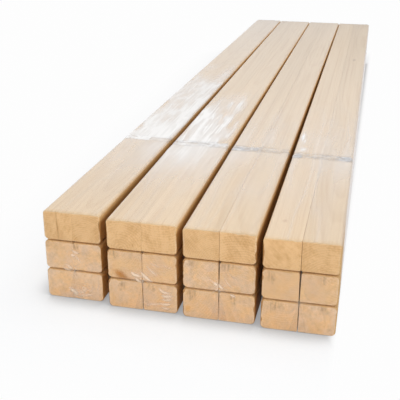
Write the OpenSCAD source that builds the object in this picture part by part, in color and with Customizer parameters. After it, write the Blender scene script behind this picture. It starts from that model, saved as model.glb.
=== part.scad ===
/* [Studs] */

// Length of every stud (mm)
stud_length = 1800; // [900:10:3000]

// Width of a stud in the three wide packs (mm)
stud_width = 50; // [38:0.5:90]

// Width of a stud in the narrow pack on the left (mm)
narrow_width = 42; // [38:0.5:90]

// Thickness of a stud, which is the height of one row (mm)
stud_thickness = 45; // [36:0.5:75]

// Radius of the eased long edges of a stud (mm)
edge_radius = 5; // [1.5:0.25:8]

// Slack between the two studs of a row (mm)
stud_slack = 0.6; // [0.2:0.1:0.9]

/* [Packs] */

// Gap between packs 1 and 2 at the near end (mm)
near_gap_1 = 10.5; // [4:0.5:20]

// Gap between packs 2 and 3 at the near end (mm)
near_gap_2 = 7.5; // [4:0.5:20]

// Gap between packs 3 and 4 at the near end (mm)
near_gap_3 = 7.5; // [4:0.5:20]

// Gap between neighbouring packs at the far end, where they all but touch (mm)
far_gap = 0.4; // [0.3:0.1:0.8]

// How far the near end of pack 1 stands behind that of pack 4 (mm)
setback_1 = 16.5; // [0:0.5:40]

// How far the near end of pack 2 stands behind that of pack 4 (mm)
setback_2 = 8.5; // [0:0.5:40]

// How far the near end of pack 3 stands behind that of pack 4 (mm)
setback_3 = 5; // [0:0.5:40]

/* [Film wrap] */

// Thickness of the film (mm)
film_thickness = 0.3; // [0.1:0.05:0.5]

// Room between the film and the studs at the sides, top and ends (mm)
film_clearance = 0.2; // [0.1:0.05:0.4]

// Distance of the lapped seam from the near end (mm)
seam_distance = 345; // [100:5:700]

// Width of the lapped seam along the studs (mm)
seam_width = 12; // [6:1:40]

// How far the lapped seam stands proud of the film (mm)
seam_lap = 0.6; // [0.2:0.1:1]

// Height above the floor from which the seam stands proud, as it is pressed flat below (mm)
seam_foot = 10; // [4:1:60]

// Height of the gather on the wrapped ends above the floor (mm)
gather_height = 50; // [40:1:68]

// Number of pleats that run out from a gather
pleat_count = 11; // [5:2:15]

// Radius of the pucker at the middle of a gather, where the pleats begin (mm)
gather_radius = 4; // [3.5:0.5:8]

// Length of a long pleat (mm)
pleat_length = 30; // [12:1:34]

// Length of a short pleat (mm)
short_pleat_length = 18; // [8:1:34]

// How far the pleats stand proud of the film at the gather (mm)
pleat_height = 0.8; // [0.3:0.1:0.9]

// How far a pleat stands proud at its outer tip (mm)
pleat_tip = 0.2; // [0.1:0.05:0.3]

/* [Hidden] */

$fn = 48;

rows = ["bottom", "middle", "top"];
sides = ["left", "right"];
pack_numbers = [0:3];

stud_widths = [narrow_width, stud_width, stud_width, stud_width];
near_gaps = [near_gap_1, near_gap_2, near_gap_3];
setbacks = [setback_1, setback_2, setback_3, 0];

// Film and its clearance on one side of a pack
skin = film_clearance + film_thickness;
wrap_radius = edge_radius + film_thickness;
seam_radius = wrap_radius + seam_lap;
wrap_height = len(rows) * stud_thickness + film_thickness + skin;
wrap_widths = [for (width = stud_widths) len(sides) * width + stud_slack + 2 * skin];

function total(list, count) = count == 0 ? 0 : list[count - 1] + total(list, count - 1);
function turned(v, angle) = [v.x * cos(angle) - v.y * sin(angle), v.x * sin(angle) + v.y * cos(angle)];

// The packs fan out a little from the far end, where they all but touch
leans = [for (gap = near_gaps) asin((gap - far_gap) / stud_length)];
fan = total(leans, len(leans));
turns = [for (p = pack_numbers) total(leans, p) - fan / 2];

// From the near left corner of a pack to that of the next one, seen from the first of them
function stride(p) = [
    wrap_widths[p] + far_gap + stud_length * sin(leans[p]),
    stud_length * (1 - cos(leans[p])) - (setbacks[p] - setbacks[p + 1])
];
function corner(p) = p == 0 ? [0, 0] : corner(p - 1) + turned(stride(p - 1), turns[p - 1]);

// The outermost points of a wrapped pack, seen from its own near left corner
function reach(p) = [
    for (x = [0, wrap_widths[p]], y = [-skin, stud_length + skin]) [x, y],
    for (x = [-seam_lap, wrap_widths[p] + seam_lap]) [x, seam_distance],
    for (y = [-skin - pleat_height, stud_length + skin + pleat_height]) [wrap_widths[p] / 2, y]
];
reaches = [for (p = pack_numbers, point = reach(p)) corner(p) + turned(point, turns[p])];
across = [for (point = reaches) point.x];
along = [for (point = reaches) point.y];
middle = [(min(across) + max(across)) / 2, (min(along) + max(along)) / 2];

function stud_name(p, row, side) = str("pack_", p + 1, "_stud_", rows[row], "_", sides[side]);
function wrap_name(p) = str("pack_", p + 1, "_wrap");

// Puts a pack, drawn from its near left corner, in its place in the bundle
module in_pack(p) {
    translate(corner(p) - middle)
        rotate(turns[p])
            children();
}

// Runs a section, drawn as across and up, along the studs
module bar(length) {
    translate([0, length, 0])
        rotate([90, 0, 0])
            linear_extrude(height = length)
                children();
}

module eased_rectangle(width, height, radius) {
    translate([radius, 0])
        square([width - 2 * radius, height]);
    translate([0, radius])
        square([width, height - 2 * radius]);
    for (x = [radius, width - radius], y = [radius, height - radius])
        translate([x, y])
            circle(r = radius);
}

// A rectangle with its two upper corners rounded
module arched_rectangle(width, height, radius) {
    square([width, height - radius]);
    translate([radius, 0])
        square([width - 2 * radius, height]);
    for (x = [radius, width - radius])
        translate([x, height - radius])
            circle(r = radius);
}

// One planed stud with eased long edges and square-sawn ends
module stud(p, row, side) {
    width = stud_widths[p];
    color("BurlyWood")
        in_pack(p)
            translate([skin + side * (width + stud_slack), 0, film_thickness + row * stud_thickness])
                bar(stud_length)
                    eased_rectangle(width, stud_thickness, edge_radius);
}

// The gather in the film over an end, facing the near end: pleats that taper out round a pucker
module gather() {
    span = 2 * (gather_radius + pleat_length + short_pleat_length);
    intersection() {
        for (i = [0:pleat_count - 1])
            rotate([0, i * 360 / pleat_count, 0])
                translate([0, 0, gather_radius])
                    cylinder(
                        h = i % 2 == 0 ? pleat_length : short_pleat_length,
                        r1 = pleat_height,
                        r2 = pleat_tip
                    );
        translate([-span / 2, film_thickness / 2 - span, -span / 2])
            cube(span);
    }
}

// Clear film round one pack, closed over both ends, with its lapped seam
module wrap(p) {
    width = wrap_widths[p];
    color("LightCyan", 0.5)
        in_pack(p) {
            difference() {
                union() {
                    translate([0, -skin, 0])
                        bar(stud_length + 2 * skin)
                            eased_rectangle(width, wrap_height, wrap_radius);
                    translate([-seam_lap, seam_distance - seam_width / 2, seam_foot])
                        bar(seam_width)
                            arched_rectangle(width + 2 * seam_lap, wrap_height + seam_lap - seam_foot, seam_radius);
                }
                translate([film_thickness, -film_clearance, film_thickness])
                    bar(stud_length + 2 * film_clearance)
                        eased_rectangle(width - 2 * film_thickness, wrap_height - 2 * film_thickness, edge_radius);
            }
            translate([width / 2, -skin, gather_height])
                gather();
            translate([width / 2, stud_length + skin, gather_height])
                rotate(180)
                    gather();
        }
}

for (p = pack_numbers, row = [0:len(rows) - 1], side = [0:len(sides) - 1])
    stud(p, row, side);

for (p = pack_numbers)
    wrap(p);
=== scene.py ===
import math

import bpy
import numpy as np
from mathutils import Matrix, Vector


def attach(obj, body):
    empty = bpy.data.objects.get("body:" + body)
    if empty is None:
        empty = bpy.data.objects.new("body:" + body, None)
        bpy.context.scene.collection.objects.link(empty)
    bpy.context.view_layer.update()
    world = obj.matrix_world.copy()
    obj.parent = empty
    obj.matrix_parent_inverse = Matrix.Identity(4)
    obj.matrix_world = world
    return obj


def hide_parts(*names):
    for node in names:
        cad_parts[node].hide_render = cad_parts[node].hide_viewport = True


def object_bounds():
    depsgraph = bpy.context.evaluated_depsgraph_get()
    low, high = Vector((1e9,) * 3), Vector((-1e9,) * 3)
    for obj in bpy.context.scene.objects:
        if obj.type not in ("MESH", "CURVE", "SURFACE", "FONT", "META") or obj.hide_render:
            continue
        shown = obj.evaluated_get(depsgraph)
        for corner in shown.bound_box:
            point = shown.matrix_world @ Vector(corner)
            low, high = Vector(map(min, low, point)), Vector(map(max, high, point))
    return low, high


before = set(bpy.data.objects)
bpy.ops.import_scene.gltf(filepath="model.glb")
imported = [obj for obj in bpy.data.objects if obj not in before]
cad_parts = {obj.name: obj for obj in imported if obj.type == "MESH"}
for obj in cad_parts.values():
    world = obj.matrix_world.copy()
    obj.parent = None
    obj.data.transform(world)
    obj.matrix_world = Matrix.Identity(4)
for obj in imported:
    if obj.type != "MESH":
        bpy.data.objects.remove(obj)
cad_lo, cad_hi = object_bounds()

MM = 0.001
ROWS = ("bottom", "middle", "top")
SIDES = ("left", "right")
PACKS = (1, 2, 3, 4)
TOP_ROW = len(ROWS) - 1


# ---- repeatable noise

BY_I, BY_J, BY_SEED, BY_HASH = 374761393, 668265263, 362437, 1274126177
HASH_MASK, VALUE_MASK = 0xFFFFFFFF, 0xFFFF


def eased(share):
    """Smooth step of a share from 0 to 1."""
    return share * share * (3 - 2 * share)


def ramp(value, low, high):
    """Smooth step from 0 at low to 1 at high."""
    return eased(np.clip((value - low) / (high - low), 0, 1))


def lattice(i, j, seed):
    """A repeatable value from 0 to 1 for each pair of whole numbers."""
    h = (i.astype(np.int64) * BY_I + j.astype(np.int64) * BY_J + seed * BY_SEED) & HASH_MASK
    h = ((h ^ (h >> 13)) * BY_HASH) & HASH_MASK
    return ((h ^ (h >> 16)) & VALUE_MASK) / VALUE_MASK


def noise(x, y, seed):
    """Smooth value noise from 0 to 1."""
    i, j = np.floor(x), np.floor(y)
    u, v = eased(x - i), eased(y - j)
    low = lattice(i, j, seed) * (1 - u) + lattice(i + 1, j, seed) * u
    high = lattice(i, j + 1, seed) * (1 - u) + lattice(i + 1, j + 1, seed) * u
    return low * (1 - v) + high * v


# ---- shader nodes

class Shader:
    """The nodes of a material or a world under construction."""

    def __init__(self, owner):
        owner.use_nodes = True
        self.owner, self.tree = owner, owner.node_tree
        self.tree.nodes.clear()

    def node(self, kind, inputs=None, **settings):
        made = self.tree.nodes.new(kind)
        for key, value in settings.items():
            setattr(made, key, value)
        for key, value in (inputs or {}).items():
            if isinstance(value, bpy.types.NodeSocket):
                self.tree.links.new(value, made.inputs[key])
            else:
                made.inputs[key].default_value = value
        return made

    def math(self, operation, *values, clamp=False):
        made = self.node("ShaderNodeMath", dict(enumerate(values)), operation=operation, use_clamp=clamp)
        return made.outputs[0]

    def times(self, first, *others):
        for other in others:
            first = self.math("MULTIPLY", first, other)
        return first

    def line(self, value, slope, level):
        return self.math("MULTIPLY_ADD", value, slope, level)

    def vector(self, operation, *values):
        made = self.node("ShaderNodeVectorMath", dict(enumerate(values)), operation=operation)
        return made.outputs["Value" if operation == "LENGTH" else "Vector"]

    def attribute(self, name, output="Vector"):
        return self.node("ShaderNodeAttribute", attribute_name=name).outputs[output]

    def split(self, vector):
        return self.node("ShaderNodeSeparateXYZ", {0: vector}).outputs

    def join(self, x, y, z):
        return self.node("ShaderNodeCombineXYZ", {0: x, 1: y, 2: z}).outputs[0]

    def noise(self, vector, rates, detail):
        """Noise from 0 to 1, with its own rate along each axis."""
        stretched = self.vector("MULTIPLY", vector, rates)
        made = self.node("ShaderNodeTexNoise", {"Vector": stretched, "Scale": 1.0, "Detail": detail})
        return made.outputs["Fac"]

    def wander(self, along, rate, shift):
        """Slow noise of one number, from 0 to 1."""
        w = self.line(along, rate, shift)
        inputs = {"W": w, "Scale": 1.0, "Detail": 1.0}
        return self.node("ShaderNodeTexNoise", inputs, noise_dimensions="1D").outputs["Fac"]

    def ramp(self, value, low, high, out_low=0.0, out_high=1.0):
        """Smooth step from out_low at low to out_high at high."""
        made = self.node(
            "ShaderNodeMapRange",
            {"Value": value, "From Min": low, "From Max": high, "To Min": out_low, "To Max": out_high},
            interpolation_type="SMOOTHSTEP",
        )
        return made.outputs["Result"]

    def swing(self, start, weights, patterns):
        """Start, plus the swing of each pattern round its middle times its weight, kept from 0 to 1."""
        total = start
        for name, weight in weights.items():
            total = self.math("ADD", total, self.line(patterns[name], weight, -weight / 2))
        return self.math("ADD", total, 0.0, clamp=True)

    def mix(self, share, first, second, blend="MIX"):
        """A mix of two colours, which are inputs 6 and 7 of the node."""
        inputs = {0: share, 6: first, 7: second}
        return self.node("ShaderNodeMix", inputs, data_type="RGBA", blend_type=blend).outputs[2]

    def tint(self, colour, by):
        return self.mix(1.0, colour, by, "MULTIPLY")

    def shade(self, colour, value):
        return self.tint(colour, self.join(value, value, value))

    def surface(self, kind, **inputs):
        return self.node(kind, {name.replace("_", " "): value for name, value in inputs.items()}).outputs[0]

    def blend(self, share, first, second):
        """A mix of two surfaces."""
        return self.node("ShaderNodeMixShader", {0: share, 1: first, 2: second}).outputs[0]

    def seen(self):
        """1 for what the camera sees straight, mirrored or through film, and 0 for light on its way."""
        path = self.node("ShaderNodeLightPath").outputs
        mirrored = self.math("MAXIMUM", path["Is Glossy Ray"], path["Is Transmission Ray"])
        return self.math("MAXIMUM", path["Is Camera Ray"], mirrored)

    def finish(self, surface, output="ShaderNodeOutputMaterial"):
        self.node(output, {"Surface": surface})
        return self.owner


# ---- pine

EARLY_WOOD = (0.820, 0.628, 0.412, 1)
LATE_WOOD = (0.660, 0.450, 0.255, 1)
END_EARLY = (0.882, 0.560, 0.278, 1)
END_LATE = (0.640, 0.345, 0.130, 1)
# Painted shade on the planed sides, painted light at the top of the sides in the gaps between packs, and
# painted shade deep in those gaps
FLANK_SHADE = (0.92, 0.75, 0.51, 1)
GAP_LIT_BROW = (1.16, 0.98, 0.66, 1)
GAP_SHADE = (0.62, 0.48, 0.34, 1)
PALE_RIM = (0.93, 0.69, 0.45, 1)
# Painted bounce light: orange at the foot of the bottom row's ends
LOW_BOUNCE = (0.80, 0.40, 0.13, 1)
DUST = (0.82, 0.62, 0.46, 1)
SOIL = (0.40, 0.240, 0.130, 1)

# Noise in the wood: its rates for each metre across, along and up, and its detail
WOOD_NOISE = {
    "warp": ((28, 2.2, 28), 2.0),
    "fibre": ((950, 16, 950), 1.0),
    "streak": ((150, 1.7, 150), 3.0),
    "vein": ((330, 1.3, 330), 2.0),
    "cloud": ((22, 1.4, 22), 2.0),
    "speck": ((620, 620, 620), 1.0),
    "fleck": ((270, 270, 270), 2.0),
    "mottle": ((105, 105, 105), 4.0),
    "drift": ((48, 48, 48), 2.0),
    "saw": ((30, 30, 900), 1.0),
    "stroke": ((360, 360, 55), 2.0),
    "smudge": ((95, 95, 70), 3.0),
}
BRUSHED = ((420, 10, 60), 2.0)

# Growth rings: how the pith wanders, how rings waver and bend round a knot, and a year's late wood
PITH_RATE, PITH_PLAY, PITH_SHIFTS = 1.3, 0.030, (0.0, 57.0)
RING_WAVER, KNOT_FALL, KNOT_BEND = 0.006, 0.22, 0.005
LATE_BEGINS, LATE_ENDS = (0.35, 0.88), (0.92, 1.0)

# Share of the late colour: from rings and veins, and from the swing of the noise on faces and ends
RING_SHARE, VEIN_SHARE, VEIN_FROM = 0.26, 0.58, (0.56, 0.74)
FACE_LEVEL, FACE_SWINGS = 0.025, {"streak": 1.25, "fibre": 0.30}
END_LEVEL, END_SWINGS = 0.13, {"speck": 0.70, "fleck": 0.55, "mottle": 0.85, "drift": 1.10, "brushed": 0.80}
# Depth in millimetres below the top of a pack where the painted light in a gap gives way to painted shade
GAP_SHADE_DEPTH = (4.5, 15.0)

# Each step of the wear on the ends, and of the painted bounce light at their foot: where it starts and is
# full, then its least and its most
MIDDLING = (0.35, 0.65)
RIM_FROM, RIM_SHARE = (0.84, 0.98), (0.15, 0.8)
LOW_BOUNCE_SHARE = 0.20
CLOUD_SHADE = (0.16, 0.92)
DUST_SHARE = (0.12, 0.62)
BLOTCH_SHARE, BLOTCH_LEVEL = 0.50, -0.48
SMEAR_FLECK, SMEAR_MOTTLE, SMEAR_RAMP = 2.2, 3.4, (2.5, 5.2, 0.72, 0.0)
SMEAR_SOILED, STROKE_RAMP = (0.0, 0.4), (0.36, 0.62, 0.15, 1.0)
SMUDGE_RAMP, SMUDGE_HEIGHT = (0.48, 0.78, 0.0, 0.50), (-0.3, 1.0)
SPOT_MOTTLE, SPOT_RAMP = 1.3, (0.7, 1.95, 1.0, 0.0)
BUMP_STRENGTH, BUMP_HEIGHT = 0.35, 0.0005
WOOD_ROUGH, WOOD_SPECULAR = (0.2, 0.50), 0.05


def growth_rings(g, grain, mark_far, ring_width, warp):
    """Late wood from 0 to 1, in rings round a pith that wanders along the stud, bent round a knot."""
    along = g.split(grain)[1]
    ring = g.split(g.attribute("ring"))
    off_x, off_z = [
        g.line(g.wander(along, PITH_RATE, shift), PITH_PLAY, -PITH_PLAY / 2) for shift in PITH_SHIFTS
    ]
    pith = g.join(g.math("ADD", ring[0], off_x), 0.0, g.math("ADD", ring[2], off_z))
    swell = g.math("EXPONENT", g.times(mark_far, mark_far, -KNOT_FALL))
    waver = g.line(warp, RING_WAVER, -RING_WAVER / 2)
    radius = g.math("ADD", g.vector("LENGTH", pith), g.line(swell, KNOT_BEND, waver))
    year = g.math("FRACT", g.math("DIVIDE", radius, ring_width))
    return g.math("SUBTRACT", g.ramp(year, *LATE_BEGINS), g.ramp(year, *LATE_ENDS))


def face_colour(g, late, pattern):
    """Planed faces with painted shade and light: sides are darker than the top, painted light lifts the top
    of the sides in the gaps between packs, and painted shade darkens them most of all deep in those gaps.
    """
    vein = g.ramp(pattern["vein"], *VEIN_FROM, 0.0, VEIN_SHARE)
    start = g.line(late, RING_SHARE, g.math("ADD", vein, FACE_LEVEL))
    colour = g.mix(g.swing(start, FACE_SWINGS, pattern), EARLY_WOOD, LATE_WOOD)
    # Painted light at the top of the sides that face another pack, painted shade deep down
    gap = g.attribute("gap", "Fac")
    deep_shade = g.ramp(g.attribute("depth", "Fac"), *GAP_SHADE_DEPTH)
    lit_brow = g.times(gap, g.math("SUBTRACT", 1.0, deep_shade))
    # Painted shade: the sides darker and warmer than the top
    shaded_flank = g.tint(colour, g.mix(lit_brow, FLANK_SHADE, GAP_LIT_BROW))
    colour = g.mix(g.attribute("shaded_flank", "Fac"), colour, shaded_flank)
    return g.mix(g.times(gap, deep_shade), colour, g.tint(colour, GAP_SHADE))


def end_colour(g, late, pattern):
    """Sawn ends."""
    start = g.line(late, RING_SHARE, END_LEVEL)
    return g.mix(g.swing(start, END_SWINGS, pattern), END_EARLY, END_LATE)


def add_rims_and_bounce_light(g, colour, end, across, up, mottle):
    """Paler rims round the sawn ends, and painted bounce light: orange lower edges on the lowest of them."""
    rim = g.ramp(g.math("MAXIMUM", across, g.math("ABSOLUTE", up)), *RIM_FROM)
    rim = g.times(rim, end, g.ramp(mottle, *MIDDLING, *RIM_SHARE))
    colour = g.mix(rim, colour, PALE_RIM)
    # Painted bounce light at the foot of the bottom row's ends
    return g.mix(g.times(g.attribute("low", "Fac"), end, LOW_BOUNCE_SHARE), colour, LOW_BOUNCE)


def add_dust(g, colour, soiled_end, pattern):
    """Dust on the ends, and blotches lighter and darker than the rest."""
    dusty = g.times(g.ramp(pattern["drift"], *MIDDLING, *DUST_SHARE), soiled_end)
    colour = g.mix(dusty, colour, DUST)
    blotch = g.line(pattern["fleck"], BLOTCH_SHARE, BLOTCH_LEVEL)
    blotch = g.line(pattern["mottle"], BLOTCH_SHARE, blotch)
    return g.shade(colour, g.line(blotch, soiled_end, 1.0))


def add_soil(g, colour, end, soiled, up, pattern):
    """Grey handling marks on the ends: placed smears, and smudges towards the upper edge."""
    far = g.line(pattern["mottle"], SMEAR_MOTTLE, g.vector("LENGTH", g.attribute("smear")))
    far = g.line(pattern["fleck"], SMEAR_FLECK, far)
    strokes = g.ramp(pattern["stroke"], *STROKE_RAMP)
    smear = g.times(g.ramp(far, *SMEAR_RAMP), strokes, g.ramp(soiled, *SMEAR_SOILED))
    smudge = g.times(g.ramp(pattern["smudge"], *SMUDGE_RAMP), g.ramp(up, *SMUDGE_HEIGHT), soiled)
    return g.mix(g.times(g.math("MAXIMUM", smudge, smear), end), colour, SOIL)


def wood_relief(g, end, late, pattern):
    """Fine relief: fibres and rings on the faces, saw lines and specks on the ends."""
    planed = g.times(g.math("ADD", pattern["fibre"], late), 0.5)
    sawn = g.math("ADD", pattern["saw"], pattern["speck"])
    height = g.node("ShaderNodeMix", {0: end, 2: planed, 3: sawn}, data_type="FLOAT").outputs[0]
    return g.surface("ShaderNodeBump", Strength=BUMP_STRENGTH, Distance=BUMP_HEIGHT, Height=height)


def pine_material():
    g = Shader(bpy.data.materials.new("pine"))
    grain, end = g.attribute("grain"), g.attribute("end", "Fac")
    value, soiled, ring_width = g.split(g.attribute("tone"))
    across, _, up = g.split(g.attribute("section"))
    pattern = {name: g.noise(grain, *settings) for name, settings in WOOD_NOISE.items()}
    pattern["brushed"] = g.noise(g.attribute("slant"), *BRUSHED)
    mark_far = g.vector("LENGTH", g.attribute("mark"))
    late = growth_rings(g, grain, mark_far, ring_width, pattern["warp"])

    colour = g.mix(end, face_colour(g, late, pattern), end_colour(g, late, pattern))
    colour = add_rims_and_bounce_light(g, colour, end, across, up, pattern["mottle"])
    colour = g.shade(colour, g.times(value, g.line(pattern["cloud"], *CLOUD_SHADE)))
    colour = add_dust(g, colour, g.times(soiled, end), pattern)
    colour = add_soil(g, colour, end, soiled, up, pattern)

    # One knot, resin mark or crack on a stud
    spot = g.ramp(g.line(pattern["mottle"], SPOT_MOTTLE, mark_far), *SPOT_RAMP)
    colour = g.mix(spot, colour, g.tint(colour, g.attribute("stain", "Color")))
    return g.finish(g.surface(
        "ShaderNodeBsdfPrincipled",
        Base_Color=colour,
        Roughness=g.line(pattern["streak"], *WOOD_ROUGH),
        Normal=wood_relief(g, end, late, pattern),
        Specular_IOR_Level=WOOD_SPECULAR,
    ))


# ---- clear film

FILM_CLEAR = (0.985, 0.988, 0.990, 1)
FILM_GLOSS = (0.96, 0.97, 1, 1)
FILM_WHITE = (1.0, 0.992, 0.98, 1)
# Cream tint of the white over the ends, much of which is painted highlight on their folds
FILM_CREAM = (1.0, 0.81, 0.62, 1)
# Painted grey shade at the seam
FILM_SEAM_SHADE = (0.61, 0.625, 0.66, 1)
SHINE_POWER, SHINE_RISE, SHINE_LEAST = 4.0, 0.80, 0.03
GLOSS_ROUGH, GLARE_ROUGH, GLARE_SHARE = 0.16, 0.45, 0.50


def film_material():
    g = Shader(bpy.data.materials.new("clear_film"))
    facing = g.node("ShaderNodeLayerWeight", {"Blend": 0.5}).outputs["Facing"]
    shine = g.line(g.math("POWER", facing, SHINE_POWER), SHINE_RISE, SHINE_LEAST)
    shine = g.math("MULTIPLY", shine, g.attribute("sheen", "Fac"), clamp=True)
    clear = g.surface("ShaderNodeBsdfTransparent", Color=FILM_CLEAR)
    gloss = g.surface("ShaderNodeBsdfAnisotropic", Color=FILM_GLOSS, Roughness=GLOSS_ROUGH)
    tint = g.mix(g.attribute("cream", "Fac"), FILM_WHITE, FILM_CREAM)
    # Painted grey shade at the seam, in place of white
    tint = g.mix(g.attribute("seam_shade", "Fac"), tint, FILM_SEAM_SHADE)
    milk = g.surface("ShaderNodeBsdfDiffuse", Color=tint)
    glare = g.surface("ShaderNodeBsdfAnisotropic", Color=tint, Roughness=GLARE_ROUGH)
    white = g.blend(GLARE_SHARE, milk, glare)
    # The film turns white where it is hazy and where reflections and highlights are painted
    return g.finish(g.blend(g.attribute("haze_and_reflection", "Fac"), g.blend(shine, clear, gloss), white))


# ---- pieces

def new_object(name, data):
    made = bpy.data.objects.new(name, data)
    bpy.context.scene.collection.objects.link(made)
    return made


def new_mesh(name, points, faces, material):
    mesh = bpy.data.meshes.new(name)
    mesh.from_pydata([tuple(p) for p in points], [], faces)
    mesh.materials.append(material)
    mesh.update()
    return new_object(name, mesh)


def new_piece(name, points, faces, material):
    piece = new_mesh(name, points, faces, material)
    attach(piece, "root")
    return piece


def set_attribute(mesh, name, values, domain="POINT"):
    values = np.asarray(values, np.float32)
    if values.ndim == 1:
        mesh.attributes.new(name, "FLOAT", domain).data.foreach_set("value", values)
    else:
        mesh.attributes.new(name, "FLOAT_VECTOR", domain).data.foreach_set("vector", values.ravel())


def grid_faces(rings, count, closed):
    """Quads between neighbouring rings of points, facing out."""
    around = count if closed else count - 1
    k, i = np.meshgrid(np.arange(rings - 1), np.arange(around), indexing="ij")
    j = (i + 1) % count
    quads = np.stack([k * count + i, (k + 1) * count + i, (k + 1) * count + j, k * count + j], axis=-1)
    return quads.reshape(-1, 4).tolist()


class Place:
    """Axes and sizes of a straight piece in the frame, in millimetres, from the middle of its near end."""

    def __init__(self, nodes):
        co = np.concatenate([[tuple(v.co) for v in node.data.vertices] for node in nodes]) / MM
        middle = (co[:, 1].min() + co[:, 1].max()) / 2
        near, far = [
            np.array([part[:, axis].min() + part[:, axis].max() for axis in (0, 1)])
            for part in (co[co[:, 1] < middle], co[co[:, 1] >= middle])
        ]
        run = (far - near) / np.linalg.norm(far - near)
        self.along = np.array([run[0], run[1], 0])
        self.across = np.array([run[1], -run[0], 0])
        self.up = np.array([0, 0, 1.0])
        axes = (self.across, self.along, self.up)
        low_x, low_y, low_z = [(co @ axis).min() for axis in axes]
        self.width, self.length, self.height = [np.ptp(co @ axis) for axis in axes]
        self.origin = (
            self.across * (low_x + self.width / 2)
            + self.along * low_y
            + self.up * (low_z + self.height / 2)
        )

    def world(self, local):
        """Metres in the frame of local points, which run across, along and up."""
        turned = local[:, :1] * self.across + local[:, 1:2] * self.along + local[:, 2:] * self.up
        return (self.origin + turned) * MM


# ---- studs

ARC_STEPS, RUN_STEPS = 8, 10
STATION_STEP = 90.0
SHARP_ANGLE = math.radians(32)

# Edge radii, on the outside of a pack and where the two studs of a row meet
OUTER_FOOT, OUTER_HEAD, TOP_OUTER = 6.3, 5.0, 5.2
INNER_FOOT, INNER_HEAD = 2.2, 2.8
TOP_INNER = {1: 0.02, 2: 0.12, 3: 0.3, 4: 0.35}

# Room left between rows, its play, and the room at the floor and the top
ROW_INSET, ROW_PLAY, FREE_INSET = 1.05, 0.2, 0.05

# Gap between the two studs of a row at its foot and at its head, for each pack from the bottom row up
SPLITS = {
    1: ((0.0, 0.0), (0.0, 0.0), (0.0, 0.0)),
    2: ((1.10, 1.10), (0.40, 0.80), (0.0, 0.0)),
    3: ((0.20, 1.00), (0.50, 2.10), (0.25, 0.15)),
    4: ((1.00, 1.20), (1.20, 2.40), (0.35, 0.30)),
}
CAD_SLACK = 0.6

# Away from the ends the studs of the top row lie closer together
CLOSED_GAP = {1: 0.0, 2: 0.0, 3: 0.45, 4: 0.25}
CLOSED_INNER = 0.05
CLOSES = (120.0, 650.0)

# Eased ends: how far a ring draws in, its distance from the end, and the share of it between studs
END_EASE = ((1.1, 0.0), (0.32, 0.32), (0.0, 1.1))
INNER_EASE = {1: 0.0, 2: 0.06, 3: 0.15, 4: 0.15}

# Splinters along the sawn edges, in shares of the ease: always, rough and chipped, with their sizes
SPLINTER_LEAST, SPLINTER_ROUGH, SPLINTER_CHIP = 0.55, 0.8, 1.3
ROUGH_SIZE, CHIP_SIZE, CHIP_FROM, FAR_END_SHIFT = 5, 9, (0.66, 0.9), 40

# A stud's knot, resin mark or crack: place from its near-end middle, radii, tilt on the end, and tint
MARKS = {
    (1, "top", "left"): ((-0.5, 0.0, -1.0), (1.5, 6.0, 26.0), -3.0, (0.72, 0.64, 0.54)),
    (2, "middle", "left"): ((-4.2, 0.0, -16.5), (17.0, 6.0, 6.2), 33.0, (0.70, 0.45, 0.19)),
    (3, "bottom", "left"): ((-18.5, 0.0, -8.5), (4.5, 6.0, 6.0), 0.0, (1.04, 0.88, 0.58)),
    (4, "top", "left"): ((-4.0, 59.0, 22.0), (3.6, 7.0, 6.0), 0.0, (0.84, 0.76, 0.70)),
    (4, "top", "right"): ((-2.5, 1177.0, 22.0), (5.0, 13.0, 6.0), 0.0, (0.60, 0.50, 0.42)),
}
NO_MARK = ((0.0, -900.0, 0.0), (4.0, 4.0, 4.0), 0.0, (1.0, 1.0, 1.0))

# Grey smears on the near ends: across and up from the stud's middle, and radii
SMEARS = {
    (1, "middle", "right"): (-18.0, 17.0, 4.5, 7.0),
    (2, "middle", "left"): (-14.5, 18.5, 5.0, 5.0),
    (2, "bottom", "left"): (-4.5, 13.5, 4.0, 5.0),
    (2, "bottom", "right"): (-14.0, 15.5, 4.5, 6.0),
    (3, "middle", "left"): (-10.5, 17.0, 4.0, 6.0),
    (3, "middle", "right"): (-15.5, 17.5, 8.0, 5.5),
    (3, "bottom", "left"): (-11.5, 14.0, 5.0, 6.0),
    (3, "bottom", "right"): (-6.0, 16.5, 4.0, 5.0),
    (4, "middle", "left"): (-13.0, 15.0, 3.5, 8.0),
    (4, "middle", "right"): (3.0, 16.5, 3.5, 6.5),
    (4, "bottom", "left"): (-6.0, 13.5, 6.0, 6.0),
    (4, "bottom", "right"): (5.5, 17.0, 4.0, 5.0),
}
NO_SMEAR = (0.0, 900.0, 4.0, 4.0)
SMEAR_LONG = 6

# Brightness of each pack's studs, left then right, from the bottom row up
VALUES = {
    1: ((0.99, 1.05), (0.99, 1.02), (0.96, 0.96)),
    2: ((1.01, 1.01), (0.98, 1.00), (0.97, 0.99)),
    3: ((1.00, 1.00), (0.97, 0.96), (0.97, 0.99)),
    4: ((1.00, 0.97), (0.98, 0.94), (1.00, 0.95)),
}

# Ranges of the random draws, and the least that the ends of a pack's row are soiled
MOST_LEAN, PITH_ASIDE, PITH_OFF, GRAIN_SHIFT = 1.3, 45, (20, 70), 40
SOILED, RING_WIDTH = (0.4, 1.0), (2.4, 3.8)
SOILED_LEAST = {(1, 0): 0.95}
# How far up the bottom row the painted bounce light reaches, as a share of its height
LOW_BOUNCE_REACH = 0.3


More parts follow.
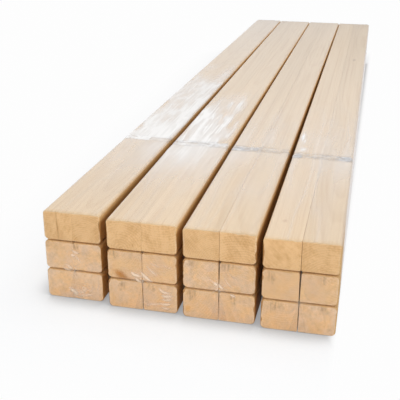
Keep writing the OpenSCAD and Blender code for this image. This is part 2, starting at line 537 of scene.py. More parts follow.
def stud_outline(width, height, left, right, foot, head, radii):
    """Outline and outward directions of a stud's section, counter-clockwise from its lower left corner."""
    corners = (
        (-width / 2 + left[0], -height / 2 + foot[0], 1, 1, math.pi),
        (width / 2 - right[0], -height / 2 + foot[1], -1, 1, 1.5 * math.pi),
        (width / 2 - right[1], height / 2 - head[1], -1, -1, 0),
        (-width / 2 + left[1], height / 2 - head[0], 1, -1, 0.5 * math.pi),
    )
    points, outward = [], []
    for (x, z, to_x, to_z, start), radius in zip(corners, radii):
        for step in range(ARC_STEPS):
            angle = start + step / (ARC_STEPS - 1) * math.pi / 2
            way = (math.cos(angle), math.sin(angle))
            points.append((x + to_x * radius + way[0] * radius, z + to_z * radius + way[1] * radius))
            outward.append(way)
        points.extend([None] * RUN_STEPS)
        outward.extend([way] * RUN_STEPS)

    # The straight runs between the arcs
    side = ARC_STEPS + RUN_STEPS
    for corner in range(len(corners)):
        last = corner * side + ARC_STEPS - 1
        start, end = np.array(points[last]), np.array(points[(corner + 1) % len(corners) * side])
        for step in range(1, RUN_STEPS + 1):
            points[last + step] = start + (end - start) * step / (RUN_STEPS + 1)
    return np.array([tuple(point) for point in points]), np.array(outward)


def stud_sections(place, pack, row, side, rng):
    """A stud's outline at its ends and away from them, and its outward directions."""
    play = ROW_INSET + rng.uniform(-ROW_PLAY, ROW_PLAY, 4)
    foot = (FREE_INSET, FREE_INSET) if row == 0 else play[:2]
    head = (FREE_INSET, FREE_INSET) if row == TOP_ROW else play[2:]

    def outline(gaps, inner_head, outer_head):
        flush, split = (0.0, 0.0), [(gap - CAD_SLACK) / 2 for gap in gaps]
        left, right = (flush, split) if side == 0 else (split, flush)
        radii = (OUTER_FOOT, INNER_FOOT, inner_head, outer_head)
        if side == 1:
            radii = (INNER_FOOT, OUTER_FOOT, outer_head, inner_head)
        return stud_outline(place.width, place.height, left, right, foot, head, radii)

    if row < TOP_ROW:
        ends, outward = outline(SPLITS[pack][row], INNER_HEAD, OUTER_HEAD)
        return ends, ends, outward
    ends, outward = outline(SPLITS[pack][row], TOP_INNER[pack], TOP_OUTER)
    shut, _ = outline((CLOSED_GAP[pack], CLOSED_GAP[pack]), CLOSED_INNER, TOP_OUTER)
    return ends, shut, outward


def stud_points(place, pack, row, side, sections):
    """Rings of points along a stud, its sawn ends eased and splintered, but hardly where two studs meet."""
    outline, shut, outward = sections
    inward = np.clip(outward[:, 0] * (1 - 2 * side), 0, 1)
    ease = outward * (1 - (1 - INNER_EASE[pack]) * inward)[:, None]
    rough_seed, chip_seed = 50 * pack + 10 * row + side, 70 * pack + 10 * row + side + 5
    x, z = outline.T
    splinter = []
    for shift in (0, FAR_END_SHIFT):
        rough = noise(x / ROUGH_SIZE + shift, z / ROUGH_SIZE, rough_seed)
        chips = noise(x / CHIP_SIZE + shift, z / CHIP_SIZE, chip_seed)
        splinter.append(SPLINTER_LEAST + SPLINTER_ROUGH * rough + SPLINTER_CHIP * ramp(chips, *CHIP_FROM))

    between = np.linspace(0, place.length, int(place.length / STATION_STEP))[1:-1]
    stations = [(shrink, y, 0) for shrink, y in END_EASE] + [(0.0, y, None) for y in between]
    stations += [(shrink, place.length - y, 1) for shrink, y in reversed(END_EASE)]
    rings = []
    for shrink, y, end in stations:
        closed = ramp(y, *CLOSES) * (1 - ramp(y, place.length - CLOSES[1], place.length - CLOSES[0]))
        ring = outline + (shut - outline) * closed
        if end is not None:
            ring = ring - ease * (shrink * splinter[end])[:, None]
        rings.append(np.column_stack([ring[:, 0], np.full(len(ring), y), ring[:, 1]]))
    return rings


def turned(points, angle):
    """Points turned about the length of a stud."""
    x, y, z = points.T
    return np.column_stack([
        x * math.cos(angle) - z * math.sin(angle), y, x * math.sin(angle) + z * math.cos(angle),
    ])


def stud_attributes(place, pack, row, side, local, outward, rng):
    """What the pine material reads at each point of a stud."""
    key = (pack, ROWS[row], SIDES[side])
    at, radii, tilt, stain = MARKS.get(key, NO_MARK)
    smear_x, smear_z, smear_wide, smear_tall = SMEARS.get(key, NO_SMEAR)
    lean = rng.uniform(-MOST_LEAN, MOST_LEAN)
    pith = (rng.uniform(-PITH_ASIDE, PITH_ASIDE), 0, rng.choice([-1, 1]) * rng.uniform(*PITH_OFF))
    shift = rng.uniform(-GRAIN_SHIFT, GRAIN_SHIFT, 3)
    soiled = 0.0 if row == TOP_ROW else max(rng.uniform(*SOILED), SOILED_LEAST.get((pack, row), 0.0))
    tone = (VALUES[pack][row][side], soiled, rng.uniform(*RING_WIDTH) * MM)
    outer = 2 * side - 1
    free = (pack, side) in ((PACKS[0], 0), (PACKS[-1], 1))
    # Masks of painted shade: all but the top row's top, and the sides that face another pack
    shaded_flank = 1 - np.clip(outward[:, 1], 0, 1) * (row == TOP_ROW)
    gap = np.clip(outward[:, 0] * outer, 0, 1) * (not free)
    rings = len(local) // len(outward)
    return {
        "grain": local * MM + shift,
        "slant": turned(local, -lean) * MM + shift,
        "ring": (local - pith) * MM,
        "mark": turned(local - at, math.radians(tilt)) / radii,
        "smear": (local - (smear_x, 0, smear_z)) / (smear_wide, SMEAR_LONG, smear_tall),
        "section": local * (outer * 2 / place.width, 0, 2 / place.height),
        "stain": np.tile(stain, (len(local), 1)),
        "tone": np.tile(tone, (len(local), 1)),
        # Where painted bounce light warms the foot of the bottom row
        "low": np.clip(LOW_BOUNCE_REACH - local[:, 2] / place.height, 0, 1) * (row == 0),
        "shaded_flank": np.tile(shaded_flank, rings),
        "gap": np.tile(gap, rings),
        "depth": (TOP_ROW - row) * place.height + place.height / 2 - local[:, 2],
    }


def make_stud(pack, row, side, material, rng):
    name = f"pack_{pack}_stud_{ROWS[row]}_{SIDES[side]}"
    place = Place([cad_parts[name]])
    sections = stud_sections(place, pack, row, side, rng)
    rings = stud_points(place, pack, row, side, sections)
    local, count = np.concatenate(rings), len(rings[0])
    faces = grid_faces(len(rings), count, True)
    caps = [list(range(count)), list(reversed(range(len(local) - count, len(local))))]
    piece = new_piece(name + "_wood", place.world(local), faces + caps, material)
    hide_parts(name)

    mesh = piece.data
    for attribute, values in stud_attributes(place, pack, row, side, local, sections[-1], rng).items():
        set_attribute(mesh, attribute, values)
    on_end = np.zeros(len(mesh.polygons))
    on_end[-len(caps):] = 1
    set_attribute(mesh, "end", on_end, "FACE")
    mesh.shade_smooth()
    mesh.set_sharp_from_angle(angle=SHARP_ANGLE)


# ---- film wraps

# Film round a section: room, radii and thickness, then the heights of its two layers at the lap, and the lap
FILM_ROOM, FILM_FOOT, FILM_HEAD, FILM_THICKNESS = 0.30, 5.0, 5.2, 0.3
FILM_FLOOR, FILM_LAP = (0.08, 0.2), 24.0
TOP_STEP, SIDE_STEP, FOOT_STEP, FILM_ARC_STEPS = 1.3, 3.2, 6.0, 6

# Steps between the film's rings: at the near end, before the seam, on it, in the crumples and beyond them
RING_STEPS = (7.0, 4.0, 1.2, 4.2, 8.0)
SEAM_APPROACH, SEAM_REACH = 90, 14

# Noise over the film: its size round the pack and along it in millimetres, and its own seed
FILM_NOISE = {
    "patch": (38, 130, 1),
    "drift": (40, 90, 2),
    "long_folds": (13, 120, 3),
    "short_folds": (7, 48, 4),
    "slack": (26, 170, 5),
    "slack_folds": (30, 240, 6),
    "broken": (16, 40, 7),
    "seam": (30, 400, 8),
    "milk": (20, 150, 9),
    "ragged": (22, 70, 10),
    "streaks": (6, 120, 11),
    "lace": (5, 4, 12),
    "long_streaks": (17, 260, 13),
    "stray": (12, 60, 14),
    "front": (24, 60, 15),
    "streak_breaks": (6, 45, 16),
    "flakes": (7, 6, 17),
}
# Where noise that shows in patches starts and is full, and how sharp noise that runs in crests is
FILM_PATCHES = {
    "patch": (0.22, 0.70),
    "broken": (0.20, 0.75),
    "lace": (0.25, 0.70),
    "streak_breaks": (0.25, 0.65),
    "flakes": (0.45, 0.75),
}
FILM_CRESTS = {"long_folds": 2.5, "short_folds": 3, "slack_folds": 8, "streaks": 2.2, "long_streaks": 5}
STAR_SEED, WARP_SEEDS, VEIL_SEED, SEEDS_PER_PACK = 20, (30, 31), 32, 100
# How far folds drift sideways, and the share of it in the streaks
FOLD_DRIFT, STREAK_SWAY, LONG_STREAK_SWAY = 12, 0.4, 0.6

# Where each pack's seam lies, how it wanders, half the width of it and its lace, how soft they end, and how
# far past the lace its painted grey shade reaches
SEAM_AT = {1: 357.0, 2: 351.0, 3: 349.0, 4: 338.0}
SEAM_WANDER, SEAM_HALF, LACE_HALF, SEAM_SOFT, LACE_SOFT, SEAM_SHADE_PAST = 5, 6.0, 14.0, 4, 5, 4

# Crumples behind the seam: strength, reach, and the share of the reach at full strength
CRUMPLE = {1: (1.0, 720.0, 0.45), 2: (1.1, 440.0, 0.15), 3: (0.16, 260.0, 0.3), 4: (0.16, 260.0, 0.3)}
# Their left and right edges, as shares of half the width
PATCH = {1: (-0.98, 1.2), 2: (-1.15, 0.66), 3: (-1.2, 1.2), 4: (-1.2, 1.2)}
PATCH_STRAY, END_STRAY, PATCH_OUT, PATCH_IN = 0.5, 170, 0.2, 0.25
# Room of their ramps at the seam, and the share that is even
BEHIND_RAMP, AHEAD_STOP, AHEAD_RAMP = 10, 8, 4
BEHIND_EVEN, AHEAD_EVEN = 0.80, 0.7
# How white they are, partly the film's own white and partly painted reflection, all over and in their
# streaks, and at most
CRUMPLE_BODY = {1: (0.58, 0.28), 2: (0.48, 0.55), 3: (0.30, 0.56), 4: (0.30, 0.56)}
CRUMPLE_MOST = {1: 0.78, 2: 0.90, 3: 0.84, 4: 0.84}
LONG_WHITE, SHORT_WHITE = 0.16, 0.14
# Crumples in front of the seam: strength and reach, and their white, partly painted reflection, all over, in
# clouds and in streaks
AHEAD = {1: (0.55, 220.0), 2: (1.10, 270.0), 3: (0.36, 140.0), 4: (0.22, 120.0)}
AHEAD_WHITE = (0.30, 0.30, 0.14)

# How far the film lifts: long and short folds, slack and its folds, and the seam, then shares on the sides
LONG_LIFT, SHORT_LIFT, SLACK_LIFT, SLACK_FOLD_LIFT, SEAM_LIFT = 0.60, 0.30, 0.10, 0.08, 0.45
SIDE_FOLDS, SIDE_SEAM = 0.5, 0.3

# Where the seam shows white: from and to across as shares of half the width, and how white
SEAM_SPANS = {
    1: ((-0.95, 0.15, 0.9), (0.15, 0.9, 0.4)),
    2: ((-0.85, -0.45, 0.8), (-0.12, 0.95, 0.9)),
    3: ((-0.98, 0.05, 0.52), (0.05, 0.98, 0.28)),
    4: ((-0.98, -0.66, 0.6), (-0.66, 0.42, 0.30), (0.42, 1.0, 0.46)),
}
SEAM_LEAST, SPAN_START, SPAN_END = 0.12, 0.05, 0.08
# How even its white is, what makes up the rest, its edges and sides, and its painted grey shade
SEAM_EVEN = {1: 0.50, 2: 0.40, 3: 0.05, 4: 0.05}
LACE_SHARE, BROKEN_SHARE = 0.57, 0.43
SEAM_EDGE, SEAM_EDGE_WIDE, SEAM_SIDES = 0.10, 2.0, 0.4
SEAM_SHADE = {1: 0.1, 2: 0.40, 3: 0.80, 4: 0.85}
FLAKE_CLEAR = 0.7

# Painted reflection on the top: long faint streaks, which fade along it, and a milky haze: its middle, reach,
# strength and clouds
STREAKS = {1: 0.06, 2: 0.08, 3: 0.10, 4: 0.17}
STREAKS_FADE = (300, 900)
MILK_REFLECTION_AT, MILK_REFLECTION_REACH, MILK_REFLECTION, MILK_REFLECTION_CLOUDS, MOST_HAZE = 330.0, 260.0, 0.17, (0.4, 1.2), 0.95

# Painted glints on the top: across as a share of half the width, along, their radii and strength
GLINTS = {
    4: ((-0.84, 445.0, 0.05, 20.0, 0.8), (-0.74, 420.0, 0.03, 12.0, 0.5), (-0.70, 372.0, 0.10, 9.0, 0.6)),
}

# Gloss on the sides, on a pack's free side, on the ends and their folds, and on the top's far part
SIDE_SHEEN, FREE_SHEEN, END_SHEEN, FOLD_SHEEN = 0.06, 0.9, 0.3, 1.5
FAR_SHEEN = {1: 1.0, 2: 0.8, 3: 0.75, 4: 0.6}
FREE_FROM, FAR_FROM = (10, 160), (500, 1500)

# Pleats at the near end: their middle from the pack's lower left corner, rays, reach and strength
GATHER = {
    1: (42.8, 50.0, 9, 18, 0.30),
    2: (50.8, 50.0, 11, 26, 0.45),
    3: (50.8, 50.0, 11, 22, 0.45),
    4: (50.8, 50.0, 9, 16, 0.12),
}
# Pleats at the far end, in the middle of the pack: height, rays, reach and strength
FAR_GATHER = (50.0, 13, 32, 0.6)

# Folds in the film over the near end: from, to (across and up), and strength
CREASES = {
    1: (
        (39.9, 77.6, 51.5, 73.2, 0.92), (37.6, 69.8, 44.8, 69.7, 0.92), (44.3, 72.3, 53.6, 61.1, 0.57),
        (28.5, 55.9, 41.7, 47.9, 0.69), (23.9, 48.7, 40.4, 47.5, 0.57), (32.6, 19.5, 46.5, 9.0, 1.25),
        (47.5, 9.0, 59.5, 21.5, 0.80), (49.0, 8.0, 68.0, 10.6, 0.95), (38.0, 13.5, 50.0, 3.6, 0.80),
        (55.0, 30.0, 55.6, 12.0, 0.42), (59.6, 31.0, 60.4, 5.0, 0.48), (64.6, 28.0, 65.0, 8.0, 0.40),
        (69.4, 26.0, 70.0, 7.0, 0.34), (79.0, 33.0, 80.4, 6.0, 0.36),
    ),
    2: (
        (34.0, 59.1, 48.6, 53.1, 1.15), (47.7, 62.0, 64.6, 47.3, 1.15), (39.9, 51.9, 50.3, 43.7, 0.92),
        (72.0, 38.8, 90.4, 31.0, 1.25), (79.0, 34.5, 93.0, 30.2, 0.80), (77.5, 27.4, 94.5, 26.8, 1.20),
        (76.5, 21.4, 94.0, 22.6, 0.95), (74.5, 13.4, 92.5, 15.8, 1.15), (76.0, 6.8, 92.5, 9.0, 0.85),
        (52.3, 9.5, 79.0, 17.0, 0.75), (56.5, 71.8, 75.0, 55.4, 0.57), (60.8, 77.8, 81.1, 69.2, 0.46),
        (74.4, 76.0, 101.6, 72.0, 0.46),
    ),
    3: (
        (42.8, 58.9, 49.6, 54.2, 1.5), (50.4, 57.7, 57.9, 50.4, 1.03), (65.6, 44.0, 74.8, 41.5, 1.03),
        (56.6, 71.8, 70.0, 51.6, 0.46), (61.7, 77.8, 78.3, 65.4, 0.46), (34.6, 68.5, 48.0, 55.5, 0.46),
    ),
    4: ((55.0, 65.2, 67.0, 50.8, 0.23), (39.4, 29.0, 46.6, 41.0, 0.23)),
}
CREASE_WIDTH, CREASE_BOW, CREASE_TIP, CREASE_FADE = 2.0, 0.08, 0.35, 0.7
RAY_PLAY, RAY_LONG, RAY_WIDE = 0.3, (0.45, 1.0), (0.7, 1.2)

# Film over an end: inset and depth of the rings that turn in, then the flat part's inset, rings and pucker
END_TURN = ((0.12, 0.18), (0.45, 0.30))
END_INSET, NEAR_RINGS, FAR_RINGS, RING_CROWD, PUCKER = 0.9, 60, 34, 0.85, 1.6
# Over an end: how far the film stands out and how far its folds lift it, the painted highlight on the folds,
# and the most haze
END_OUT, FOLD_OUT, FOLD_HIGHLIGHT, MOST_END_HAZE = 0.30, 1.1, 0.75, 0.85
# How pleats and creases waver, and the thin haze over an end
WARP_SIZE, WARP = 9, 2.5
VEIL, VEIL_CLOUDS, VEIL_SIZE, VEIL_WIDE, VEIL_TOP = 0.04, 0.15, (17, 14), 26, (84, 94)


def film_section(width, height):
    """The sleeve's section, lapped on its underside: points, outward directions and distance run."""
    half, top = width / 2 + FILM_ROOM, height / 2 + FILM_ROOM
    foot = [-height / 2 - FILM_THICKNESS + z for z in FILM_FLOOR]
    r, head = FILM_FOOT, FILM_HEAD
    points, outward = [], []

    def line(start, end, step, way):
        count = max(2, int(round(math.dist(start, end) / step)))
        for t in np.linspace(0, 1, count, endpoint=False):
            points.append((start[0] + (end[0] - start[0]) * t, start[1] + (end[1] - start[1]) * t))
            outward.append(way)

    def arc(x, z, start, radius):
        for t in np.linspace(0, 1, FILM_ARC_STEPS, endpoint=False):
            way = (math.cos(start + t * math.pi / 2), math.sin(start + t * math.pi / 2))
            points.append((x + radius * way[0], z + radius * way[1]))
            outward.append(way)

    line((-FILM_LAP / 2, foot[0]), (half - r, foot[0]), FOOT_STEP, (0, -1))
    arc(half - r, foot[0] + r, 1.5 * math.pi, r)
    line((half, foot[0] + r), (half, top - head), SIDE_STEP, (1, 0))
    arc(half - head, top - head, 0, head)
    line((half - head, top), (-half + head, top), TOP_STEP, (0, 1))
    arc(-half + head, top - head, 0.5 * math.pi, head)
    line((-half, top - head), (-half, foot[1] + r), SIDE_STEP, (-1, 0))
    arc(-half + r, foot[1] + r, math.pi, r)
    line((-half + r, foot[1]), (FILM_LAP / 2, foot[1]), FOOT_STEP, (0, -1))
    points.append((FILM_LAP / 2, foot[1]))
    outward.append((0, -1))
    points = np.array(points)
    run = np.concatenate([[0], np.cumsum(np.linalg.norm(np.diff(points, axis=0), axis=1))])
    return points, np.array(outward), run


def film_stations(length, seam, reach):
    """Places of the rings along the sleeve, closer together at the seam and the crumples."""
    stops = (0.0, seam - SEAM_APPROACH, seam - SEAM_REACH, seam + SEAM_REACH, seam + reach, length)
    places = []
    for start, end, step in zip(stops, stops[1:], RING_STEPS):
        places.extend(np.linspace(start, end, max(2, int((end - start) / step)), endpoint=False))
    return np.array(places + [length])


def star(x, z, rays, reach, seed):
    """Height from 0 to 1 of pleats that run out from a point."""
    rng = np.random.default_rng(seed)
    far, angle = np.hypot(x, z), np.arctan2(z, x)
    height = np.zeros_like(x)
    for ray in range(rays):
        way = (ray + rng.uniform(-RAY_PLAY, RAY_PLAY)) * 2 * math.pi / rays
        long, wide = reach * rng.uniform(*RAY_LONG), rng.uniform(*RAY_WIDE)
        turn = np.abs((angle - way + math.pi) % (2 * math.pi) - math.pi)
        beside = np.where(turn < math.pi / 2, far * np.sin(turn), far)
        height = np.maximum(height, np.exp(-(beside / wide) ** 2) * np.clip(1 - far / long, 0, 1))
    return height


def crease(x, z, start, end, wide):
    """Height from 0 to 1 of a bowed fold between two points, thin at its tips."""
    a, b = np.array(start), np.array(end)
    long = np.linalg.norm(b - a)
    way = (b - a) / long
    run = ((x - a[0]) * way[0] + (z - a[1]) * way[1]) / long
    body = np.clip(4 * run * (1 - run), 0, 1)
    beside = (x - a[0]) * way[1] - (z - a[1]) * way[0] - CREASE_BOW * long * body
    half = wide * (CREASE_TIP + (1 - CREASE_TIP) * body)
    return np.exp(-(beside / half) ** 2) * body ** CREASE_FADE


class Sleeve:
    """The film round one pack, with fields over the run round its section (s) and its length (t)."""

    def __init__(self, pack, place):
        self.pack, self.place, self.seed = pack, place, SEEDS_PER_PACK * pack
        self.section, self.outward, self.run = film_section(place.width, place.height)
        stations = film_stations(place.length, SEAM_AT[pack], CRUMPLE[pack][1])
        self.s, self.t = np.meshgrid(self.run, stations)
        self.over = np.broadcast_to(self.section[:, 0] / (place.width / 2), self.t.shape)
        self.top = np.clip(self.outward[:, 1], 0, 1)[None, :]
        self.sides = np.abs(self.outward[:, 0])[None, :]
        self.drift = 0.0  # for the drift's own noise
        self.drift = FOLD_DRIFT * self.noise("drift")
        self.line = SEAM_AT[pack] + SEAM_WANDER * (self.noise("seam") - 0.5)
        self.off_seam = np.abs(self.t - self.line)
        self.on_seam = ramp(SEAM_HALF + SEAM_SOFT / 2 - self.off_seam, 0, SEAM_SOFT)
        self.lace = self.patches("lace")
        self.long_folds, self.short_folds = self.crests("long_folds", 1.0), self.crests("short_folds", 1.0)
        self.behind, self.ahead = self.crumples()

    def noise(self, name, sway=0.0):
        """Noise over the film, moved sideways with a share of the folds' drift."""
        size_s, size_t, seed = FILM_NOISE[name]
        return noise((self.s + sway * self.drift) / size_s, self.t / size_t, self.seed + seed)

    def patches(self, name, sway=0.0):
        """Noise that shows only in patches, 1 inside them."""
        return ramp(self.noise(name, sway), *FILM_PATCHES[name])

    def crests(self, name, sway=0.0):
        """Thin crests, 1 on the crest line, as folds in film run."""
        return (1 - np.abs(2 * self.noise(name, sway) - 1)) ** FILM_CRESTS[name]

    def crumples(self):
        """How strong the crumples are behind the seam and in front of it."""
        strength, reach, whole = CRUMPLE[self.pack]
        front_strength, front_reach = AHEAD[self.pack]
        left, right = PATCH[self.pack]
        t, line = self.t, self.line
        ragged = t + END_STRAY * (self.noise("ragged") - 0.5)
        stray = self.over + PATCH_STRAY * (self.noise("stray") - 0.5)
        patch = self.patches("patch")
        behind = ramp(t, line, line + BEHIND_RAMP) * (1 - ramp(ragged, line + whole * reach, line + reach))
        behind = behind * ramp(stray, left - PATCH_OUT, left + PATCH_IN)
        behind = behind * (1 - ramp(stray, right - PATCH_IN, right + PATCH_OUT))
        behind = strength * behind * (BEHIND_EVEN + (1 - BEHIND_EVEN) * patch)
        ahead = ramp(t, line - front_reach, line - AHEAD_STOP)
        ahead = ahead * (1 - ramp(t, line - AHEAD_RAMP, line + AHEAD_RAMP))
        return behind, front_strength * ahead * (AHEAD_EVEN + (1 - AHEAD_EVEN) * patch)

    def body(self):
        """Points of the film along the studs, lifted by folds, slack and the seam."""
        folds = LONG_LIFT * self.long_folds + SHORT_LIFT * self.short_folds
        slack = SLACK_LIFT * self.noise("slack") + SLACK_FOLD_LIFT * self.crests("slack_folds")
        lift = (self.behind + self.ahead) * folds + slack
        lift = lift * (self.top + SIDE_FOLDS * self.sides * (1 - ramp(self.t, 0, self.place.length)))
        lift = lift + SEAM_LIFT * self.on_seam * (self.top + SIDE_SEAM * self.sides)
        x, z = [self.section[:, axis] + self.outward[:, axis] * lift for axis in (0, 1)]
        return np.stack([x, self.t, z], axis=-1)

    def crumple_white_and_reflection(self):
        """White of the crumples, partly the film's own white and partly painted reflection."""
        body, streaky = CRUMPLE_BODY[self.pack]
        even, clouds, front_streaky = AHEAD_WHITE
        streaks = self.crests("streaks", STREAK_SWAY) * self.patches("streak_breaks", STREAK_SWAY)
        folds = LONG_WHITE * self.long_folds + SHORT_WHITE * self.short_folds
        behind = self.behind * (body + folds + streaky * streaks)
        ahead = self.ahead * (even + clouds * self.noise("front") + front_streaky * streaks)
        return np.minimum(behind + ahead, CRUMPLE_MOST[self.pack])

    def seam_haze(self, broken):
        """Lacy white of the seam."""
        shown = np.full(self.t.shape, SEAM_LEAST)
        for start, end, bright in SEAM_SPANS[self.pack]:
            span = ramp(self.over, start - SPAN_START, start + SPAN_START)
            span = span * (1 - ramp(self.over, end - SPAN_END, end + SPAN_END))
            shown = np.maximum(shown, bright * span)
        even = SEAM_EVEN[self.pack]
        lacy = even + (1 - even) * (LACE_SHARE * self.lace + BROKEN_SHARE * broken)
        return shown * ramp(LACE_HALF - self.off_seam, 0, LACE_SOFT) * lacy

    def haze_and_reflection(self):
        """How white the film is, from 0 to 1: partly its own haze, partly painted reflection and glints."""
        broken = self.patches("broken")
        edge = np.exp(-((self.off_seam - SEAM_HALF) / SEAM_EDGE_WIDE) ** 2)
        streaks = self.crests("long_streaks", LONG_STREAK_SWAY) * (1 - ramp(self.t, *STREAKS_FADE))
        haze_and_reflection = np.maximum(self.crumple_white_and_reflection(), self.seam_haze(broken))
        haze_and_reflection = haze_and_reflection + SEAM_EDGE * edge * broken + STREAKS[self.pack] * streaks
        # Painted glints
        for at_x, at_y, wide, long, bright in GLINTS.get(self.pack, ()):
            haze_and_reflection = haze_and_reflection + bright * np.exp(-((self.over - at_x) / wide) ** 2 - ((self.t - at_y) / long) ** 2)
        # Painted reflection: a milky white over the middle of the top
        clouds = MILK_REFLECTION_CLOUDS[0] + MILK_REFLECTION_CLOUDS[1] * self.noise("milk")
        haze_and_reflection = haze_and_reflection + MILK_REFLECTION * np.exp(-((self.t - MILK_REFLECTION_AT) / MILK_REFLECTION_REACH) ** 2) * clouds
        return np.clip(haze_and_reflection, 0, MOST_HAZE) * self.top + SEAM_SIDES * self.on_seam * self.lace * self.sides

    def sheen(self):
        """Gloss: full on the top, less towards its far end, and slight on sides that do not stand free."""
        first, last = self.pack == PACKS[0], self.pack == PACKS[-1]
        free = (self.over < 0) & first | (self.over > 0) & last
        side = SIDE_SHEEN + free * (FREE_SHEEN - SIDE_SHEEN) * ramp(self.t, *FREE_FROM)
        far = 1 + (FAR_SHEEN[self.pack] - 1) * ramp(self.t, *FAR_FROM)
        return self.top * far + side * (1 - self.top)

    def seam_shade(self):
        """Painted grey shade of the seam, all over its sides and in flakes on the top."""
        flakes = SEAM_SHADE[self.pack] * (1 - FLAKE_CLEAR * self.patches("flakes"))
        return ramp(LACE_HALF + SEAM_SHADE_PAST - self.off_seam, 0, LACE_SOFT) * np.maximum(self.sides, flakes)

    def end_folds(self, x, z, near, gather):
        """Height of the pleats and creases over an end, a little warped."""
        across, up, rays, reach, power = gather
        warp_x, warp_z = [
            WARP * (noise(x / WARP_SIZE, z / WARP_SIZE, self.seed + seed) - 0.5) for seed in WARP_SEEDS
        ]
        x, z = x + warp_x, z + warp_z
        folds = power * star(x - across, z - up, rays, reach, self.seed + STAR_SEED + near)
        for x0, z0, x1, z1, strong in CREASES[self.pack] if near else ():
            wide = CREASE_WIDTH * min(strong, 1) ** 0.5
            folds = np.maximum(folds, strong * crease(x, z, (x0, z0), (x1, z1), wide))
        return folds

    def end_veil(self, x, z, across):
        """Thin haze over an end, below its top row."""
        clouds = noise(x / VEIL_SIZE[0], z / VEIL_SIZE[1], self.seed + VEIL_SEED)
        clouds = clouds * np.exp(-((x - across) / VEIL_WIDE) ** 2)
        return (1 - ramp(z, *VEIL_TOP)) * (VEIL + VEIL_CLOUDS * clouds)

    def end(self, near):
        """Points, haze with painted highlights, and sheen over an end, where the sleeve turns in and is
        gathered to a pucker.
        """
        width, height, length = self.place.width, self.place.height, self.place.length
        sign, base = (-1, 0.0) if near else (1, length)
        gather = GATHER[self.pack] if near else (width / 2, *FAR_GATHER)
        corner = np.array([-width / 2, -height / 2])
        centre = corner + gather[:2]
        none = np.zeros(len(self.section))
        rings = [(self.section - self.outward * inset, out + none, none, none) for inset, out in END_TURN]
        edge = self.section - self.outward * END_INSET
        far = np.linalg.norm(edge - centre, axis=1)
        for q in np.linspace(0, 1, NEAR_RINGS if near else FAR_RINGS) ** RING_CROWD:
            flat = centre + (edge - centre) * (1 - q * (1 - PUCKER / far))[:, None]
            x, z = (flat - corner).T
            folds = self.end_folds(x, z, near, gather)
            # Thin haze over the end, and painted highlights on its folds
            haze_and_reflection = np.clip(self.end_veil(x, z, gather[0]) + FOLD_HIGHLIGHT * folds, 0, MOST_END_HAZE)
            rings.append((flat, END_OUT + FOLD_OUT * folds, haze_and_reflection, END_SHEEN + FOLD_SHEEN * folds))
        flats, outs, hazes_and_glints, sheens = [np.stack(values) for values in zip(*rings)]
        return np.stack([flats[..., 0], base + sign * outs, flats[..., 1]], axis=-1), hazes_and_glints, sheens


def make_wrap(pack, material):
    name = f"pack_{pack}_wrap"
    studs = [f"pack_{pack}_stud_{row}_{side}" for row in ROWS for side in SIDES]
    place = Place([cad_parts[stud] for stud in studs])
    sleeve = Sleeve(pack, place)
    near_points, near_haze_and_glint, near_sheen = sleeve.end(True)
    far_points, far_haze_and_glint, far_sheen = sleeve.end(False)
    points = np.concatenate([near_points[::-1], sleeve.body(), far_points])
    rings, count, _ = points.shape
    faces = grid_faces(rings, count, False)
    piece = new_piece(name + "_film", place.world(points.reshape(-1, 3)), faces, material)
    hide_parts(name)

    # The film's haze carries its painted reflections and highlights, and the seam's grey is painted shade
    fields = {
        "haze_and_reflection": (near_haze_and_glint[::-1], sleeve.haze_and_reflection(), far_haze_and_glint),
        "sheen": (near_sheen[::-1], sleeve.sheen(), far_sheen),
        "seam_shade": (np.zeros_like(near_haze_and_glint), sleeve.seam_shade(), np.zeros_like(far_haze_and_glint)),
        "cream": (np.ones_like(near_haze_and_glint), np.zeros_like(sleeve.t), np.ones_like(far_haze_and_glint)),
    }
    for attribute, parts in fields.items():
        set_attribute(piece.data, attribute, np.concatenate(parts).ravel())
    piece.data.shade_smooth()


# ---- floor, light and camera

FLOOR_HALF, FLOOR_DROP = 30.0, 0.0002
PAPER_DULL, PAPER_BRIGHT, PAPER_NOISE = (0.90, 0.93, 0.97, 1), (0.92, 0.95, 0.99, 1), ((3, 3, 3), 2.0)
WHITE = (1, 1, 1, 1)

# The floor's plain white: how far from the bundle it takes over, its share, and where it starts at the right
FADE_FROM, FADE_SHARE = (0.02, 0.22), (0.72, 1.0)
RIGHT_FROM, RIGHT_TO = 0.03, 0.004
# Contact shade in that white: its lean, reach, samples, and the ramp of its brightness
SHADE_LEAN, SHADE_REACH, SHADE_SAMPLES = (0.68, 0.0, 0.73), 0.045, 16
SHADE_RAMP = (0.40, 1.0, 0.42, 0.985)

# Softboxes: place, aim, size and power
SOFTBOXES = {
    "key_front": ((0.15, -2.5, 1.5), (0, -0.8, 0.07), (2.2, 1.6), 20),
    "overhead": ((0.2, -0.4, 2.2), (0, -0.35, 0), (2.2, 2.2), 25.5),
}
FILL = 0.40

# The camera, fitted to the corners of the packs in the photo
CAMERA_AT = (0.22666, -1.77952, 0.54192)
PITCH, YAW, ROLL = math.radians(22.084), math.radians(13.179), math.radians(0.162)
LENS, SENSOR = 67.355, 36.0


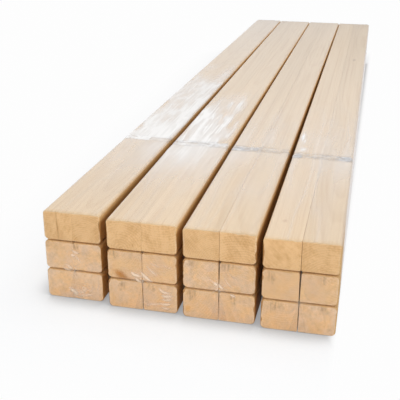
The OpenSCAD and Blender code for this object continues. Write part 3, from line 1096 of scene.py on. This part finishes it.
def floor_material():
    """White paper that keeps the shadows near the bundle and fades to plain white further off."""
    g = Shader(bpy.data.materials.new("studio_floor"))
    at = g.node("ShaderNodeTexCoord").outputs["Object"]
    tint = g.mix(g.noise(at, *PAPER_NOISE), PAPER_DULL, PAPER_BRIGHT)
    paper = g.surface("ShaderNodeBsdfDiffuse", Color=tint)
    beyond = g.vector("SUBTRACT", g.vector("ABSOLUTE", at), (cad_hi.x, cad_hi.y, 0))
    away = g.vector("LENGTH", g.vector("MAXIMUM", beyond, (0, 0, 0)))
    right = g.ramp(g.split(at)[0], cad_hi.x - RIGHT_FROM, cad_hi.x + RIGHT_TO)
    plain = g.math("MAXIMUM", g.ramp(away, *FADE_FROM, *FADE_SHARE), right)
    contact = g.node(
        "ShaderNodeAmbientOcclusion", {"Distance": SHADE_REACH, "Normal": SHADE_LEAN}, samples=SHADE_SAMPLES
    )
    shade = g.ramp(g.math("MAXIMUM", contact.outputs["AO"], right), *SHADE_RAMP)
    white = g.surface("ShaderNodeEmission", Color=WHITE, Strength=shade)
    return g.finish(g.blend(g.times(plain, g.seen()), paper, white))


def make_floor():
    corners = [(x * FLOOR_HALF, y * FLOOR_HALF, -FLOOR_DROP) for x, y in ((-1, -1), (1, -1), (1, 1), (-1, 1))]
    floor = new_mesh("studio_floor", corners, [(0, 1, 2, 3)], floor_material())


def make_softbox(name, at, aim, size, power):
    lamp = bpy.data.lights.new(name, "AREA")
    lamp.shape, lamp.size, lamp.size_y, lamp.energy = "RECTANGLE", size[0], size[1], power
    box = new_object(name, lamp)
    box.location = at
    box.rotation_mode = "QUATERNION"
    box.rotation_quaternion = (Vector(at) - Vector(aim)).to_track_quat("Z", "Y")
    box.visible_glossy = False


def make_world():
    """White where it is seen, and a dimmer fill as a light."""
    g = Shader(bpy.data.worlds.new("studio"))
    level = g.line(g.seen(), 1 - FILL, FILL)
    sky = g.surface("ShaderNodeBackground", Color=WHITE, Strength=level)
    bpy.context.scene.world = g.finish(sky, "ShaderNodeOutputWorld")


def make_camera():
    ahead = Vector((-math.sin(YAW) * math.cos(PITCH), math.cos(YAW) * math.cos(PITCH), -math.sin(PITCH)))
    level = Vector((math.cos(YAW), math.sin(YAW), 0))
    upright = level.cross(ahead)
    right = level * math.cos(ROLL) + upright * math.sin(ROLL)
    up = upright * math.cos(ROLL) - level * math.sin(ROLL)
    data = bpy.data.cameras.new("photo_camera")
    data.sensor_width, data.lens = SENSOR, LENS
    camera = new_object("photo_camera", data)
    camera.matrix_world = Matrix.Translation(CAMERA_AT) @ Matrix((right, up, -ahead)).transposed().to_4x4()
    bpy.context.scene.camera = camera


# ---- the scene

DRAWS_SEED = 20

pine, film = pine_material(), film_material()
draws = np.random.default_rng(DRAWS_SEED)
for pack in PACKS:
    for row in range(len(ROWS)):
        for side in range(len(SIDES)):
            make_stud(pack, row, side, pine, draws)
    make_wrap(pack, film)
make_floor()
for name, settings in SOFTBOXES.items():
    make_softbox(name, *settings)
make_world()
make_camera()
bpy.context.scene.view_settings.view_transform = "Standard"
